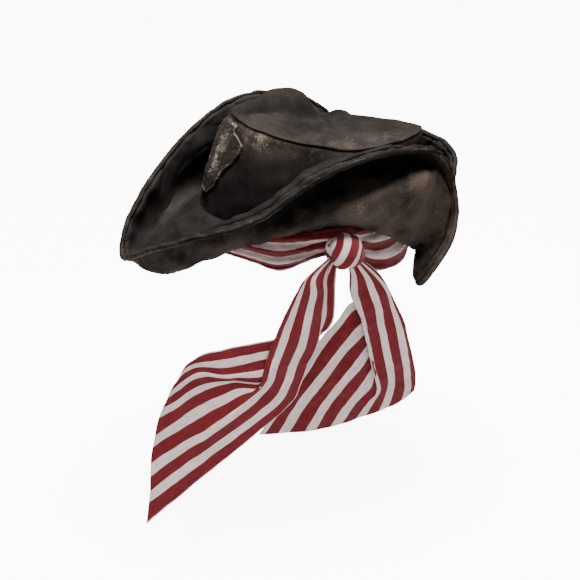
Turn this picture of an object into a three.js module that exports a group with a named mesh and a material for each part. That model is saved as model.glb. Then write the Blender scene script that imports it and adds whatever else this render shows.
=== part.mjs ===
// Soft three-cornered pirate hat with a striped head scarf knotted under its brim.
// Millimetres, +Z up. The hat's front point is -X, the wearer's left (the knot) is -Y.
// The origin is the centre of the head opening, on the seam of crown and brim.
import * as THREE from 'three';

// ---- Crown ----
const FOOT_HALF_LENGTH = 104;
const FOOT_HALF_WIDTH = 88;
const WALL_BULGE = 5;
const WALL_FOOT = -0.03; // the wall starts this share of its height below the seam
const SHELL = 1.2;
const GAP = 0.3;
// Where the side wall meets the tip, one point every 30 degrees from the front point
const TIP_SEAM = [
  [-74, 0, 92], [-64, -34, 94], [-28, -64, 88], [22, -76, 75], [76, -66, 66], [114, -38, 62],
  [127, 0, 58], [114, 38, 56], [76, 66, 60], [22, 76, 70], [-28, 64, 84], [-64, 34, 90],
];
const TIP_CENTRE = [28, 0, 76];
// Slouches of the soft tip: centre x, y, reach along x, y, and height
const TIP_BUMPS = [
  [-22, 22, 36, 30, 28], [48, 24, 16, 22, 8], [-50, -24, 30, 20, 8], [26, 16, 14, 34, -8],
  [-30, -20, 40, 12, -6],
];
const SEAM_GAP = 0.15; // degrees from a seam's middle to each edge that it joins
const LINING = 0.8;
const SWEATBAND_INSET = 2.6;
const SWEATBAND = 1.2;
const SWEATBAND_TOP = 0.36; // share of the wall's height

// ---- Brim ----
const BRIM_START = 2.0; // clear of the crown's foot
const BRIM_TOP = 1.35; // half of the three layers
const LAYER_FROM = 0.6; // middle of the brim to the near side of each outer layer
const CORE_TOP = 0.3;
const CORE_END = 0.955; // the stiffener stops here, short of the wire
const WIRE_AT = 0.985;
const WIRE_RADIUS = 0.35;
// Degrees round the crown's foot, then belly, fold, hollow, crest and edge
const BRIM_STATIONS = [
  [0, [-128, 0, -14], [-154, 0, -32], [-172, 0, -36], [-180, 0, -33], [-187, 0, -34]],
  [20, [-121, -35, -16], [-147, -40, -38], [-166, -44, -30], [-174, -45, -14], [-182, -48, -13]],
  [40, [-100, -65, -10], [-121, -73, -21], [-134, -78, -10], [-140, -80, 8], [-150, -85, 5]],
  [60, [-70, -91, 0], [-80, -99, 3], [-83, -100, 14], [-84, -101, 36], [-93, -113, 25]],
  [78, [-35, -109, 14], [-36, -113, 26], [-31, -102, 40], [-34, -108, 69], [-42, -123, 58]],
  [94, [1, -112, 13], [0, -119, 46], [4, -102, 58], [2, -116, 83], [-2, -127, 75]],
  [110, [38, -108, 0], [39, -114, 48], [37, -97, 60], [38, -112, 84], [40, -120, 79]],
  [120, [71, -96, -20], [73, -101, 43], [65, -88, 56], [72, -98, 76], [76, -104, 72]],
  [126, [80, -92, -26], [92, -97, 41], [91, -86, 51], [98, -91, 68], [104, -97, 64]],
  [130, [86, -90, -34], [106, -94, 34], [108, -84, 40], [115, -86, 46], [121, -92, 41]],
  [134, [91, -91, -32], [114, -95, 6], [119, -90, 8], [123, -92, 9], [126, -98, 6]],
  [138, [94, -90, -32], [106, -99, -25], [111, -98, -24], [114, -102, -24], [116, -107, -26]],
  [141, [91, -85, -36], [87, -100, -44], [86, -103, -52], [86, -105, -58], [89, -108, -63]],
  [144, [93, -77, -35], [88, -84, -42], [86, -88, -52], [86, -91, -58], [88, -95, -63]],
  [148, [100, -66, -28], [104, -76, -26], [107, -80, -26], [109, -84, -26], [111, -89, -27]],
  [152, [106, -57, -23], [115, -65, -12], [120, -70, -3], [123, -74, 4], [126, -79, 8]],
  [158, [113, -44, -14], [128, -50, 4], [134, -54, 22], [136, -58, 36], [140, -62, 42]],
  [167, [122, -24, -4], [132, -26, 14], [137, -28, 30], [139, -28, 44], [144, -30, 50]],
  [180, [126, 0, -2], [134, 0, 16], [138, 0, 30], [140, 0, 42], [145, 0, 47]],
  [194, [122, 30, -6], [128, 34, 12], [132, 36, 26], [133, 38, 38], [137, 40, 44]],
  [208, [104, 56, -16], [112, 62, -6], [118, 66, 8], [121, 70, 20], [125, 73, 26]],
  [216, [98, 68, -22], [106, 80, -24], [110, 86, -28], [112, 90, -31], [114, 94, -36]],
  [224, [88, 80, -21], [94, 92, -23], [97, 98, -27], [98, 101, -30], [100, 106, -35]],
  [234, [72, 90, -14], [80, 100, -4], [84, 103, 8], [86, 106, 19], [89, 110, 25]],
  [248, [40, 104, 6], [42, 108, 26], [42, 102, 44], [43, 108, 58], [46, 116, 64]],
  [270, [2, 106, 14], [0, 110, 32], [-2, 100, 50], [-1, 108, 66], [0, 120, 73]],
  [290, [-36, 102, 6], [-40, 108, 24], [-44, 98, 42], [-44, 104, 62], [-44, 113, 69]],
  [308, [-72, 84, -8], [-84, 90, 4], [-90, 82, 22], [-92, 86, 40], [-95, 92, 46]],
  [326, [-102, 56, -16], [-122, 60, -16], [-136, 56, -4], [-140, 54, 10], [-145, 56, 15]],
  [343, [-120, 28, -16], [-144, 30, -32], [-162, 30, -30], [-170, 27, -19], [-177, 25, -15]],
];

// ---- Worn patch on the crown's front: share of wall height, first and last angle ----
const PATCH_ROWS = [
  [0.2, -12, 12], [0.3, -11, 14], [0.42, -12, 18], [0.54, -14, 21], [0.66, -18, 25],
  [0.78, -20, 28], [0.86, -16, 25], [0.94, -14, 10],
];
const PATCH_STEPS = 6;
const PATCH_THICKNESS = 1;
const PATCH_GAP = 0.9; // the wall is faceted, so the patch stands clear of it

// ---- Scarf ----
const WRAP_INSET = 4.3;
const WRAP_EDGE = 3;
const WRAP_BULGE = 8;
const WRAP_TOP = -4;
// Height of the wrap's lower edge, one every 30 degrees from the front point
const WRAP_HEM = [-38, -36, -35, -29, -42, -45, -42, -38, -38, -38, -38, -38];
const KNOT = [1, -113, -14];
const KNOT_TILT = 30; // degrees that the knot's outer end drops
const KNOT_RADIUS = 17.5;
const KNOT_HOLE = 8;
const KNOT_HALF_WIDTH = 17;
const TAIL_THICKNESS = 6;
const TAIL_FRONT_Y = -117;
const TAIL_REAR_Y = -103;
const TAIL_FRONT = [
  [-40, -28], [-53, -54], [-65, -76], [-74, -92], [-141, -93], [-161, -99], [-177, -129],
  [-191, -157], [-196, -187], [-201, -229], [-204, -270], [-181, -255], [-92, -189],
  [-73, -176], [-47, -153], [-42, -140], [-26, -102], [-13, -82], [-15, -36],
];
const TAIL_REAR = [
  [4, -39], [7, -72], [-5, -90], [-24, -109], [-51, -146], [-80, -201], [-38, -208], [3, -207],
  [30, -203], [65, -195], [79, -186], [83, -170], [81, -149], [73, -116], [64, -81], [49, -54],
  [28, -36],
];

// ---- Grid sizes ----
const BRIM_STEPS_PER_STATION = 2;
const BRIM_ROWS = 10;
const WALL_COLUMNS = 48;
const WALL_ROWS = 5;
const TIP_RINGS = 6;
const WRAP_COLUMNS = 40;
const WRAP_ROWS = 5;

const SUEDE = { color: 0x2b2622, roughness: 0.85, metalness: 0 };
const UNDER_SUEDE = { color: 0x312b27, roughness: 0.85, metalness: 0 };
const PATCH = { color: 0x3a342f, roughness: 0.7, metalness: 0 };
const FELT = { color: 0x8d8a84, roughness: 0.95, metalness: 0 };
const WIRE = { color: 0x9a9a9c, roughness: 0.4, metalness: 1 };
const SATIN = { color: 0x1d1b1a, roughness: 0.5, metalness: 0 };
const RIBBON = { color: 0x141312, roughness: 0.7, metalness: 0 };
const COTTON = { color: 0xb7454f, roughness: 0.9, metalness: 0 };

const group = new THREE.Group();
group.name = 'pirate_hat';

const rad = THREE.MathUtils.degToRad;
const blend = (a, b, f) => a.map((v, k) => v * (1 - f) + b[k] * f);
const range = (n) => Array.from({ length: n }, (_, i) => i);

// Catmull-Rom curve through b and c
function curve([a, b, c, d], f) {
  return b.map((_, k) => 0.5 * (2 * b[k] + (c[k] - a[k]) * f
    + (2 * a[k] - 5 * b[k] + 4 * c[k] - d[k]) * f * f
    + (3 * b[k] - a[k] - 3 * c[k] + d[k]) * f * f * f));
}

// Smooth value of a list that runs round the hat in equal steps
function around(list, degrees) {
  const t = ((degrees % 360) + 360) % 360 / 360 * list.length;
  const i = Math.floor(t);
  const at = (k) => list[(i + k + list.length) % list.length];
  return curve([at(-1), at(0), at(1), at(2)], t - i);
}

function signedVolume(points, faces) {
  let volume = 0;
  for (let k = 0; k < faces.length; k += 3) {
    const [a, b, c] = [0, 1, 2].map((m) => new THREE.Vector3(...points[faces[k + m]]));
    volume += a.dot(b.cross(c)) / 6;
  }
  return volume;
}

function addMesh(name, geometry, material) {
  const mesh = new THREE.Mesh(geometry, new THREE.MeshStandardMaterial(material));
  mesh.name = name;
  group.add(mesh);
}

function addSolid(name, points, faces, material) {
  if (signedVolume(points, faces) < 0) faces.reverse();
  const geometry = new THREE.BufferGeometry();
  geometry.setAttribute('position', new THREE.Float32BufferAttribute(points.flat(), 3));
  geometry.setIndex(faces);
  geometry.computeVertexNormals();
  addMesh(name, geometry, material);
}

// A solid between two grids of points; `ring` joins its last column to its first
function addSheet(name, front, back, ring, material) {
  const n = front.length;
  const m = front[0].length;
  const faces = [];
  const quad = (a, b, c, d) => faces.push(a, b, c, a, c, d);
  const f = (i, j) => (i % n) * m + j;
  const b = (i, j) => n * m + f(i, j);
  for (const i of range(ring ? n : n - 1)) {
    for (const j of range(m - 1)) {
      quad(f(i, j), f(i + 1, j), f(i + 1, j + 1), f(i, j + 1));
      quad(b(i, j), b(i, j + 1), b(i + 1, j + 1), b(i + 1, j));
    }
    quad(f(i, 0), b(i, 0), b(i + 1, 0), f(i + 1, 0));
    quad(f(i, m - 1), f(i + 1, m - 1), b(i + 1, m - 1), b(i, m - 1));
  }
  for (const j of ring ? [] : range(m - 1)) {
    quad(f(0, j), f(0, j + 1), b(0, j + 1), b(0, j));
    quad(f(n - 1, j), b(n - 1, j), b(n - 1, j + 1), f(n - 1, j + 1));
  }
  addSolid(name, [...front.flat(), ...back.flat()], faces, material);
}

// A lid between two stacks of rings that close on a centre point each
function addLid(name, top, bottom, material) {
  const n = top.rings[0].length;
  const count = top.rings.length;
  const points = [top.centre, ...top.rings.flat(), bottom.centre, ...bottom.rings.flat()];
  const t = (r, i) => 1 + r * n + (i % n);
  const b = (r, i) => 1 + count * n + t(r, i);
  const faces = [];
  for (const i of range(n)) {
    faces.push(0, t(0, i), t(0, i + 1));
    faces.push(1 + count * n, b(0, i + 1), b(0, i));
    for (const r of range(count - 1)) {
      faces.push(t(r, i), t(r + 1, i), t(r + 1, i + 1), t(r, i), t(r + 1, i + 1), t(r, i + 1));
      faces.push(b(r, i), b(r + 1, i + 1), b(r + 1, i), b(r, i), b(r, i + 1), b(r + 1, i + 1));
    }
    const last = count - 1;
    faces.push(t(last, i), b(last, i), b(last, i + 1));
    faces.push(t(last, i), b(last, i + 1), t(last, i + 1));
  }
  addSolid(name, points, faces, material);
}

// ---- Crown ----
function foot(degrees, out = 0) {
  const a = rad(degrees);
  return [-(FOOT_HALF_LENGTH + out) * Math.cos(a), -(FOOT_HALF_WIDTH + out) * Math.sin(a), 0];
}

function wall(degrees, height, inset) {
  const a = rad(degrees);
  const out = WALL_BULGE * Math.sin(Math.PI * height) - inset;
  const [x, y, z] = blend(foot(degrees), around(TIP_SEAM, degrees), height);
  return [x - Math.cos(a) * out, y - Math.sin(a) * out, z];
}

function tip(degrees, reach, lift) {
  const eased = reach * reach * (3 - 2 * reach);
  const [x, y] = blend(TIP_CENTRE, around(TIP_SEAM, degrees), reach);
  const rim = around(TIP_SEAM, degrees)[2];
  let z = TIP_CENTRE[2] * (1 - eased) + rim * eased + lift;
  for (const [cx, cy, rx, ry, high] of TIP_BUMPS) {
    const far = ((x - cx) / rx) ** 2 + ((y - cy) / ry) ** 2;
    z += high * Math.exp(-far) * (1 - reach ** 4);
  }
  return [x, y, z];
}

// A wall between two seams, `first` and `last` in degrees from the front point
function addWall(name, [first, last], inset, thickness, low, high, material) {
  const columns = Math.round(WALL_COLUMNS * (last - first) / 360);
  const sewn = last - first - 2 * SEAM_GAP;
  const angles = range(columns + 1).map((i) => first + SEAM_GAP + sewn * i / columns);
  const heights = range(WALL_ROWS + 1).map((j) => low + (high - low) * j / WALL_ROWS);
  const grid = (depth) => angles.map((a) => heights.map((v) => wall(a, v, depth)));
  addSheet(name, grid(inset), grid(inset + thickness), false, material);
}

function addTip(name, reach, lift, thickness, material) {
  const angles = range(WALL_COLUMNS).map((i) => 360 * i / WALL_COLUMNS);
  const stack = (up) => ({
    centre: tip(0, 0, up),
    rings: range(TIP_RINGS).map((r) => angles
      .map((a) => tip(a, Math.min((r + 1) / TIP_RINGS, reach), up))),
  });
  addLid(name, stack(lift), stack(lift - thickness), material);
}

addWall('crown_side_left', [0, 180], 0, SHELL, WALL_FOOT, 1, SUEDE);
addWall('crown_side_right', [180, 360], 0, SHELL, WALL_FOOT, 1, SUEDE);
addTip('crown_tip', 1, GAP + SHELL, SHELL, SUEDE);
addWall('crown_lining_side', [-180, 180], SHELL + GAP, LINING, 0, 0.97, SATIN);
addTip('crown_lining_tip', 0.975, -GAP, LINING, SATIN);
addWall('sweatband', [-180, 180], SWEATBAND_INSET, SWEATBAND, 0.01, SWEATBAND_TOP, RIBBON);

const patchGrid = (out) => PATCH_ROWS.map(([height, first, last]) => range(PATCH_STEPS + 1)
  .map((i) => wall(first + (last - first) * i / PATCH_STEPS, height, -out)));
addSheet('crown_patch', patchGrid(PATCH_GAP + PATCH_THICKNESS), patchGrid(PATCH_GAP), false, PATCH);

// ---- Brim: a surface over station number t and share of width s ----
function station(i) {
  const n = BRIM_STATIONS.length;
  const [degrees, ...rings] = BRIM_STATIONS[((i % n) + n) % n];
  const start = foot(degrees, BRIM_START);
  return [blend(rings[0], start, 1.3), start, ...rings].flat();
}

function brim(t, s) {
  const i = Math.floor(t);
  const row = curve([station(i - 1), station(i), station(i + 1), station(i + 2)], t - i);
  const points = range(row.length / 3).map((k) => row.slice(3 * k, 3 * k + 3));
  points.push(blend(points.at(-2), points.at(-1), 1.7));
  const spans = points.length - 3;
  const k = Math.min(Math.max(Math.floor(s * spans), 0), spans - 1);
  return curve(points.slice(k, k + 4), s * spans - k);
}

function brimFrame(t, s) {
  const step = 0.01;
  const away = (dt, ds) => new THREE.Vector3(...brim(t + dt, s + ds));
  const along = away(step, 0).sub(away(-step, 0)).normalize();
  const outward = away(0, step).sub(away(0, -step)).normalize();
  const normal = outward.clone().cross(along).normalize();
  return { at: away(0, 0), outward, normal };
}

function brimOffset(t, s, out, up) {
  const { at, outward, normal } = brimFrame(t, s);
  return at.addScaledVector(outward, out).addScaledVector(normal, up).toArray();
}

function addBrimLayer(name, low, high, end, material) {
  const columns = range(BRIM_STATIONS.length * BRIM_STEPS_PER_STATION);
  const grid = (up) => columns.map((i) => range(BRIM_ROWS + 1)
    .map((j) => brimOffset(i / BRIM_STEPS_PER_STATION, Math.min(j / BRIM_ROWS, end), 0, up)));
  addSheet(name, grid(high), grid(low), true, material);
}

function addBrimWire(name, material) {
  const columns = range(BRIM_STATIONS.length * BRIM_STEPS_PER_STATION);
  const corner = (i, out, up) => brimOffset(i / BRIM_STEPS_PER_STATION, WIRE_AT,
    out * WIRE_RADIUS, up * WIRE_RADIUS);
  const grid = (up) => columns.map((i) => [corner(i, -1, up), corner(i, 1, up)]);
  addSheet(name, grid(1), grid(-1), true, material);
}

addBrimLayer('brim_upper_layer', LAYER_FROM, BRIM_TOP, 1, SUEDE);
addBrimLayer('brim_interlining', -CORE_TOP, CORE_TOP, CORE_END, FELT);
addBrimLayer('brim_lower_layer', -BRIM_TOP, -LAYER_FROM, 1, UNDER_SUEDE);
addBrimWire('brim_edge_wire', WIRE);

// ---- Scarf ----
function wrap(degrees, height, out) {
  const hem = around(WRAP_HEM.map((z) => [z]), degrees)[0];
  const [x, y] = foot(degrees, out);
  return [x, y, WRAP_TOP + (hem - WRAP_TOP) * height];
}

function addWrap() {
  const angles = range(WRAP_COLUMNS).map((i) => 360 * i / WRAP_COLUMNS);
  const heights = range(WRAP_ROWS + 1).map((j) => j / WRAP_ROWS);
  const outer = (a, v) => wrap(a, v, WRAP_BULGE * Math.sin(Math.PI * v) - WRAP_EDGE);
  addSheet('scarf_head_wrap', angles.map((a) => heights.map((v) => outer(a, v))),
    angles.map((a) => heights.map((v) => wrap(a, v, -WRAP_INSET))), true, COTTON);
}

// Both knot pieces turn about one slanted line
function addKnotPiece(name, profile) {
  const geometry = new THREE.LatheGeometry(profile.map(([r, h]) => new THREE.Vector2(r, h)), 20);
  geometry.rotateZ(rad(90));
  geometry.rotateY(rad(KNOT_TILT));
  geometry.translate(...KNOT);
  addMesh(name, geometry, COTTON);
}

function knotLoopProfile() {
  const middle = (KNOT_RADIUS + KNOT_HOLE) / 2;
  const deep = (KNOT_RADIUS - KNOT_HOLE) / 2;
  return range(13).map((i) => {
    const a = rad(i % 12 * 30);
    return [middle + deep * Math.cos(a), KNOT_HALF_WIDTH * Math.sin(a)];
  });
}

function knotCoreProfile() {
  const half = KNOT_HALF_WIDTH + 2;
  return range(9).map((i) => {
    const a = rad(-90 + i * 22.5);
    const r = i % 8 === 0 ? 0 : (KNOT_HOLE - 2 * GAP) * Math.cos(a);
    return [r, half * Math.sin(a)];
  });
}

function addTail(name, outline, y) {
  const shape = new THREE.Shape(outline.map(([x, z]) => new THREE.Vector2(x, z)));
  const geometry = new THREE.ExtrudeGeometry(shape, { depth: TAIL_THICKNESS, bevelEnabled: false });
  geometry.rotateX(rad(90));
  geometry.translate(0, y, 0);
  addMesh(name, geometry, COTTON);
}

addWrap();
addKnotPiece('scarf_knot_loop', knotLoopProfile());
addKnotPiece('scarf_knot_core', knotCoreProfile());
addTail('scarf_tail_front', TAIL_FRONT, TAIL_FRONT_Y);
addTail('scarf_tail_rear', TAIL_REAR, TAIL_REAR_Y);

export default group;
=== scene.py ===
# %% [markdown]
# # A soft three-cornered hat with a striped head scarf
# The hat is worn suede: a slouched crown, a brim of two layers folded up into three
# flaps, and a cracked patch on the crown's front. A striped cotton scarf goes round
# the head under the brim and ends in a knot with two hanging tails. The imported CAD
# model gives every place and size, so it is loaded first and never changed.

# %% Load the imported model
import math

import bmesh
import bpy
import numpy as np
from mathutils import Matrix, Vector


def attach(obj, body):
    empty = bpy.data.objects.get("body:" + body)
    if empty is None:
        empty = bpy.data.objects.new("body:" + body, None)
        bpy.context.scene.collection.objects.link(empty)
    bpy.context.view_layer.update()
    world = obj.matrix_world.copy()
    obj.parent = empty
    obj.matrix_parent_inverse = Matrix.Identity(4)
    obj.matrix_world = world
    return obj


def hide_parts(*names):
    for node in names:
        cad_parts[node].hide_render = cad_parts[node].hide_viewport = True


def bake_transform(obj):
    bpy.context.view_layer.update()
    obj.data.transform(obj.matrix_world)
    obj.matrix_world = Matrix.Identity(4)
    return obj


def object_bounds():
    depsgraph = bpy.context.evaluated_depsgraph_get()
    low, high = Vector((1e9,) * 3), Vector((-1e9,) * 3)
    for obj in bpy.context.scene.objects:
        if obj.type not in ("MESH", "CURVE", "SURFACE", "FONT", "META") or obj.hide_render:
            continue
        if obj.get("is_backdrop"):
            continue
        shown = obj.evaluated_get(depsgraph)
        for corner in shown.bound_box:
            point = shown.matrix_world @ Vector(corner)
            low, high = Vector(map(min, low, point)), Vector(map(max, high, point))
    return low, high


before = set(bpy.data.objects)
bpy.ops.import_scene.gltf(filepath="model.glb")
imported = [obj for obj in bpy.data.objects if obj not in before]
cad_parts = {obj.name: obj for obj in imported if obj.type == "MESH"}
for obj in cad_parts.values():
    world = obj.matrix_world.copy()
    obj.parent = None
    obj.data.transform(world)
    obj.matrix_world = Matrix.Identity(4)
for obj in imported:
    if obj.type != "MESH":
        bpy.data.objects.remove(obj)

scene = bpy.context.scene
cad_low, cad_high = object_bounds()
MM = 0.001
print("CAD box, mm:", [round(v / MM) for v in cad_high - cad_low])

# %% [markdown]
# ## The camera
# A camera is a point, a direction and a lens. This one looks down 25 degrees from a
# little to the left of the knot. Building its three axes by hand keeps the horizon
# level, and a long lens from 1.6 m keeps the brim from stretching towards us.

# %% Camera
TURN, RISE, DISTANCE = math.radians(-20), math.radians(25), 1.6
SENSOR, LENS = 36, 99.3
AIM_ACROSS, AIM_UP = -0.012, -0.094
across = Vector((math.cos(TURN), math.sin(TURN), 0))
back = Vector((math.sin(TURN) * math.cos(RISE), -math.cos(TURN) * math.cos(RISE), math.sin(RISE)))
upright = back.cross(across)
aim = AIM_ACROSS * across + AIM_UP * upright
camera = bpy.data.objects.new("camera", bpy.data.cameras.new("camera"))
camera.data.sensor_width, camera.data.lens = SENSOR, LENS
axes = Matrix((across, upright, back)).transposed().to_4x4()
camera.matrix_world = Matrix.Translation(aim + DISTANCE * back) @ axes
scene.collection.objects.link(camera)
scene.camera = camera
print("camera at", [round(v, 2) for v in camera.matrix_world.translation])

# %% [markdown]
# ## Floor and lights
# A product shot has one big soft light overhead, a weaker one in front and a pale
# floor that runs past the edges of the view. Large lights make soft shadows, which
# show the folds without black patches. The floor glows, but only for the camera, so
# it looks like white paper and still lights the hat no more than grey paper would.

# %% Paints


def linear(red, green, blue):
    """A screen colour, 0 to 255, as the linear light a shader works in."""
    return tuple((v / 255 / 12.92) if v < 10 else ((v / 255 + 0.055) / 1.055) ** 2.4
                 for v in (red, green, blue)) + (1,)


def plain_paint(name, colour, roughness):
    paint = bpy.data.materials.new(name)
    paint.use_nodes = True
    shader = paint.node_tree.nodes["Principled BSDF"]
    shader.inputs["Base Color"].default_value = colour
    shader.inputs["Roughness"].default_value = roughness
    return paint


# %% Floor
FLOOR_HEIGHT, FLOOR_REACH = cad_low.z - 0.03, 9
PAPER_GREY, PAPER_GLOW = 0.45, 9
bm = bmesh.new()
bmesh.ops.create_grid(bm, x_segments=1, y_segments=1, size=FLOOR_REACH)
bmesh.ops.translate(bm, verts=bm.verts, vec=(0, 0, FLOOR_HEIGHT))
floor_mesh = bpy.data.meshes.new("floor")
bm.to_mesh(floor_mesh)
bm.free()
floor = bpy.data.objects.new("floor", floor_mesh)
paper = plain_paint("floor_paper", (PAPER_GREY, PAPER_GREY, PAPER_GREY, 1), 0.9)
nodes, links = paper.node_tree.nodes, paper.node_tree.links
shader, seen = nodes["Principled BSDF"], nodes.new("ShaderNodeLightPath")
glow = nodes.new("ShaderNodeMath")
glow.operation, glow.inputs[1].default_value = "MULTIPLY", PAPER_GLOW
links.new(seen.outputs["Is Camera Ray"], glow.inputs[0])
links.new(glow.outputs[0], shader.inputs["Emission Strength"])
shader.inputs["Emission Color"].default_value = (1, 1, 1, 1)
floor_mesh.materials.append(paper)
scene.collection.objects.link(floor)
floor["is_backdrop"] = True

# %% Lights
SKY = 0.09


def add_light(name, place, size, watts):
    """A round soft light that faces the hat."""
    lamp = bpy.data.lights.new(name, "AREA")
    lamp.shape, lamp.size, lamp.energy = "DISK", size, watts
    holder = bpy.data.objects.new(name, lamp)
    holder.location = place
    holder.rotation_euler = (-Vector(place)).to_track_quat("-Z", "Y").to_euler()
    scene.collection.objects.link(holder)


add_light("overhead_softbox", (0.05, 0.05, 2.0), 1.2, 310)
add_light("front_softbox", (-0.3, -1.9, 1.1), 0.8, 11)
world = bpy.data.worlds.new("studio")
world.use_nodes = True
world.node_tree.nodes["Background"].inputs["Color"].default_value = (1, 1, 1, 1)
world.node_tree.nodes["Background"].inputs["Strength"].default_value = SKY
scene.world = world

# %% [markdown]
# ## Smooth lines and grids
# Every soft piece here is a sheet: a grid of points that follows a few given lines.
# A Catmull-Rom curve passes through each of its points, so a fold goes exactly
# where it is put. Numpy works out all the points of a sheet at once.

# %% Curves
def through(a, b, c, d, f):
    """The curve from b to c at share f, steered by its neighbours a and d."""
    return 0.5 * (2 * b + (c - a) * f + (2 * a - 5 * b + 4 * c - d) * f ** 2
                  + (3 * b - a - 3 * c + d) * f ** 3)


def round_curve(rows, at):
    """A closed curve through the rows; at counts rows from the first."""
    k = np.floor(at).astype(int)
    near = [rows[(k + m) % len(rows)] for m in (-1, 0, 1, 2)]
    return through(*near, (at - k)[:, None])


def open_curve(rows, share):
    """A curve from the first row at share 0 to the last at share 1."""
    rows = np.concatenate([2 * rows[:1] - rows[1:2], rows, 2 * rows[-1:] - rows[-2:-1]])
    at = share * (len(rows) - 3)
    k = np.clip(np.floor(at).astype(int), 0, len(rows) - 4)
    return through(*(rows[k + m] for m in range(4)), (at - k)[:, None])


def smooth_step(low, high, value):
    x = np.clip((value - low) / (high - low), 0, 1)
    return x * x * (3 - 2 * x)


def hill(value, width):
    return np.exp(-(value / width) ** 2)


def ripple(points, size, seed, waves=9):
    """Soft random waves, about size mm long, at each point: mostly -1 to 1."""
    dice = np.random.default_rng(seed)
    ways = dice.normal(size=(waves, 3))
    spread = 2 * math.pi / size * dice.uniform(0.6, 1.5, waves)
    ways *= (spread / np.linalg.norm(ways, axis=1))[:, None]
    return np.sin(points @ ways.T + dice.uniform(0, 6.28, waves)).sum(-1) / math.sqrt(waves)


# %% [markdown]
# ## From points to a mesh
# `lay_grid` starts from bmesh's own grid, moves each of its points into place, and
# keeps the flat cloth's coordinates as a UV map, so that a woven stripe can follow
# the cloth. Where the first and last points meet, they are welded.

# %% Mesh helpers
def lay_grid(name, points, flat, marks=None):
    columns, rows = points.shape[0] - 1, points.shape[1] - 1
    bm = bmesh.new()
    bmesh.ops.create_grid(bm, x_segments=columns, y_segments=rows, size=1)
    spots = np.array([v.co[:2] for v in bm.verts])
    spots = (spots - spots.min(0)) / np.ptp(spots, axis=0) * (columns, rows)
    i, j = np.rint(spots).astype(int).T
    mesh = bpy.data.meshes.new(name)
    bm.to_mesh(mesh)
    mesh.vertices.foreach_set("co", points[i, j].astype(np.float32).ravel())
    corners = np.empty(len(mesh.loops), np.int32)
    mesh.loops.foreach_get("vertex_index", corners)
    layer = mesh.uv_layers.new(name="cloth")
    layer.data.foreach_set("uv", flat[i, j][corners].astype(np.float32).ravel())
    for word, values in (marks or {}).items():
        mark = mesh.attributes.new(word, "FLOAT", "POINT")
        mark.data.foreach_set("value", values[i, j].astype(np.float32).ravel())
    bm.clear()
    bm.from_mesh(mesh)
    bmesh.ops.remove_doubles(bm, verts=bm.verts, dist=2e-6)
    bmesh.ops.recalc_face_normals(bm, faces=bm.faces)
    bm.to_mesh(mesh)
    bm.free()
    return add_piece(name, mesh)


def add_piece(name, mesh):
    mesh.shade_smooth()
    piece = bpy.data.objects.new(name, mesh)
    scene.collection.objects.link(piece)
    return piece


def thicken(piece, thickness):
    """Gives a sheet its thickness, half to each side."""
    modifier = piece.modifiers.new("thickness", "SOLIDIFY")
    modifier.thickness, modifier.offset = thickness, 0
    seen = piece.evaluated_get(bpy.context.evaluated_depsgraph_get())
    mesh = bpy.data.meshes.new_from_object(seen)
    piece.modifiers.clear()
    piece.data = mesh


def fit(piece, material, slot, body, *nodes):
    """Finishes a piece and lets it ride on its body in place of its CAD nodes."""
    piece.data.materials.clear()
    piece.data.materials.append(material)
    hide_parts(*nodes)
    if body:
        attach(piece, body)
    print(piece.name, len(piece.data.polygons), "faces")


def facing(points, closed):
    """The direction out of a grid of points at each of them."""
    along = np.gradient(points, axis=0)
    if closed:
        along = np.roll(points, -1, 0) - np.roll(points, 1, 0)
    normal = np.cross(np.gradient(points, axis=1), along)
    return normal / np.maximum(np.linalg.norm(normal, axis=2, keepdims=True), 1e-12)


def close_round(grid):
    return np.concatenate([grid, grid[:1]])


def both_faces(outer, inner):
    """One grid that goes out along the outer face and back along the inner one."""
    return np.concatenate([outer, inner[:, ::-1], outer[:, :1]], axis=1)


def two_sided(mark):
    """A mark for both faces, the same on each."""
    return both_faces(mark[..., None], mark[..., None])[..., 0]


def plain_flat(along, points):
    """Flat coordinates for a cloth that has no stripes."""
    return np.stack(np.broadcast_arrays(along, np.zeros((1, points.shape[1]))), -1) * MM


def table(width, text):
    """Rows of width numbers."""
    return np.array(text.split(), float).reshape(-1, width)


# %% [markdown]
# ## Worn suede
# Suede is leather with its soft inner side out. Wear flattens the nap and lifts pale
# grey specks where the hat is rubbed: rims, folds and the top. The pattern is built
# once as a node group: cloudy dye, fine nap, and specks that follow a mark which each
# suede mesh carries at its points. On the brim's lower layer that mark goes negative
# in one fold, which darkens the dye there as painted shade.

# %% Node helpers
def put(tree, kind, sockets=None, **settings):
    node = tree.nodes.new("ShaderNode" + kind)
    for word, value in settings.items():
        setattr(node, word, value)
    for name, value in (sockets or {}).items():
        if isinstance(value, bpy.types.NodeSocket):
            tree.links.new(value, node.inputs[name])
        else:
            node.inputs[name].default_value = value
    return node


def new_group(name, inputs, outputs):
    group = bpy.data.node_groups.new(name, "ShaderNodeTree")
    for word, value in inputs.items():
        socket = group.interface.new_socket(
            name=word, in_out="INPUT", socket_type="NodeSocketFloat")
        socket.default_value = value
    for word in outputs:
        group.interface.new_socket(name=word, in_out="OUTPUT", socket_type="NodeSocketFloat")
    return group, group.nodes.new("NodeGroupInput"), group.nodes.new("NodeGroupOutput")


def noise(tree, spot, scale, detail=3.0, rough=0.55):
    sockets = {"Vector": spot, "Scale": scale, "Detail": detail, "Roughness": rough}
    return put(tree, "TexNoise", sockets).outputs["Fac"]


def arith(tree, kind, first, second=0.0):
    node = put(tree, "Math", operation=kind)
    for k, value in enumerate((first, second)):
        if isinstance(value, bpy.types.NodeSocket):
            tree.links.new(value, node.inputs[k])
        else:
            node.inputs[k].default_value = value
    return node.outputs[0]


def ramp(tree, value, low, high, start=0.0, end=1.0):
    sockets = {"Value": value, "From Min": low, "From Max": high, "To Min": start, "To Max": end}
    return put(tree, "MapRange", sockets, interpolation_type="SMOOTHSTEP").outputs["Result"]


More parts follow.
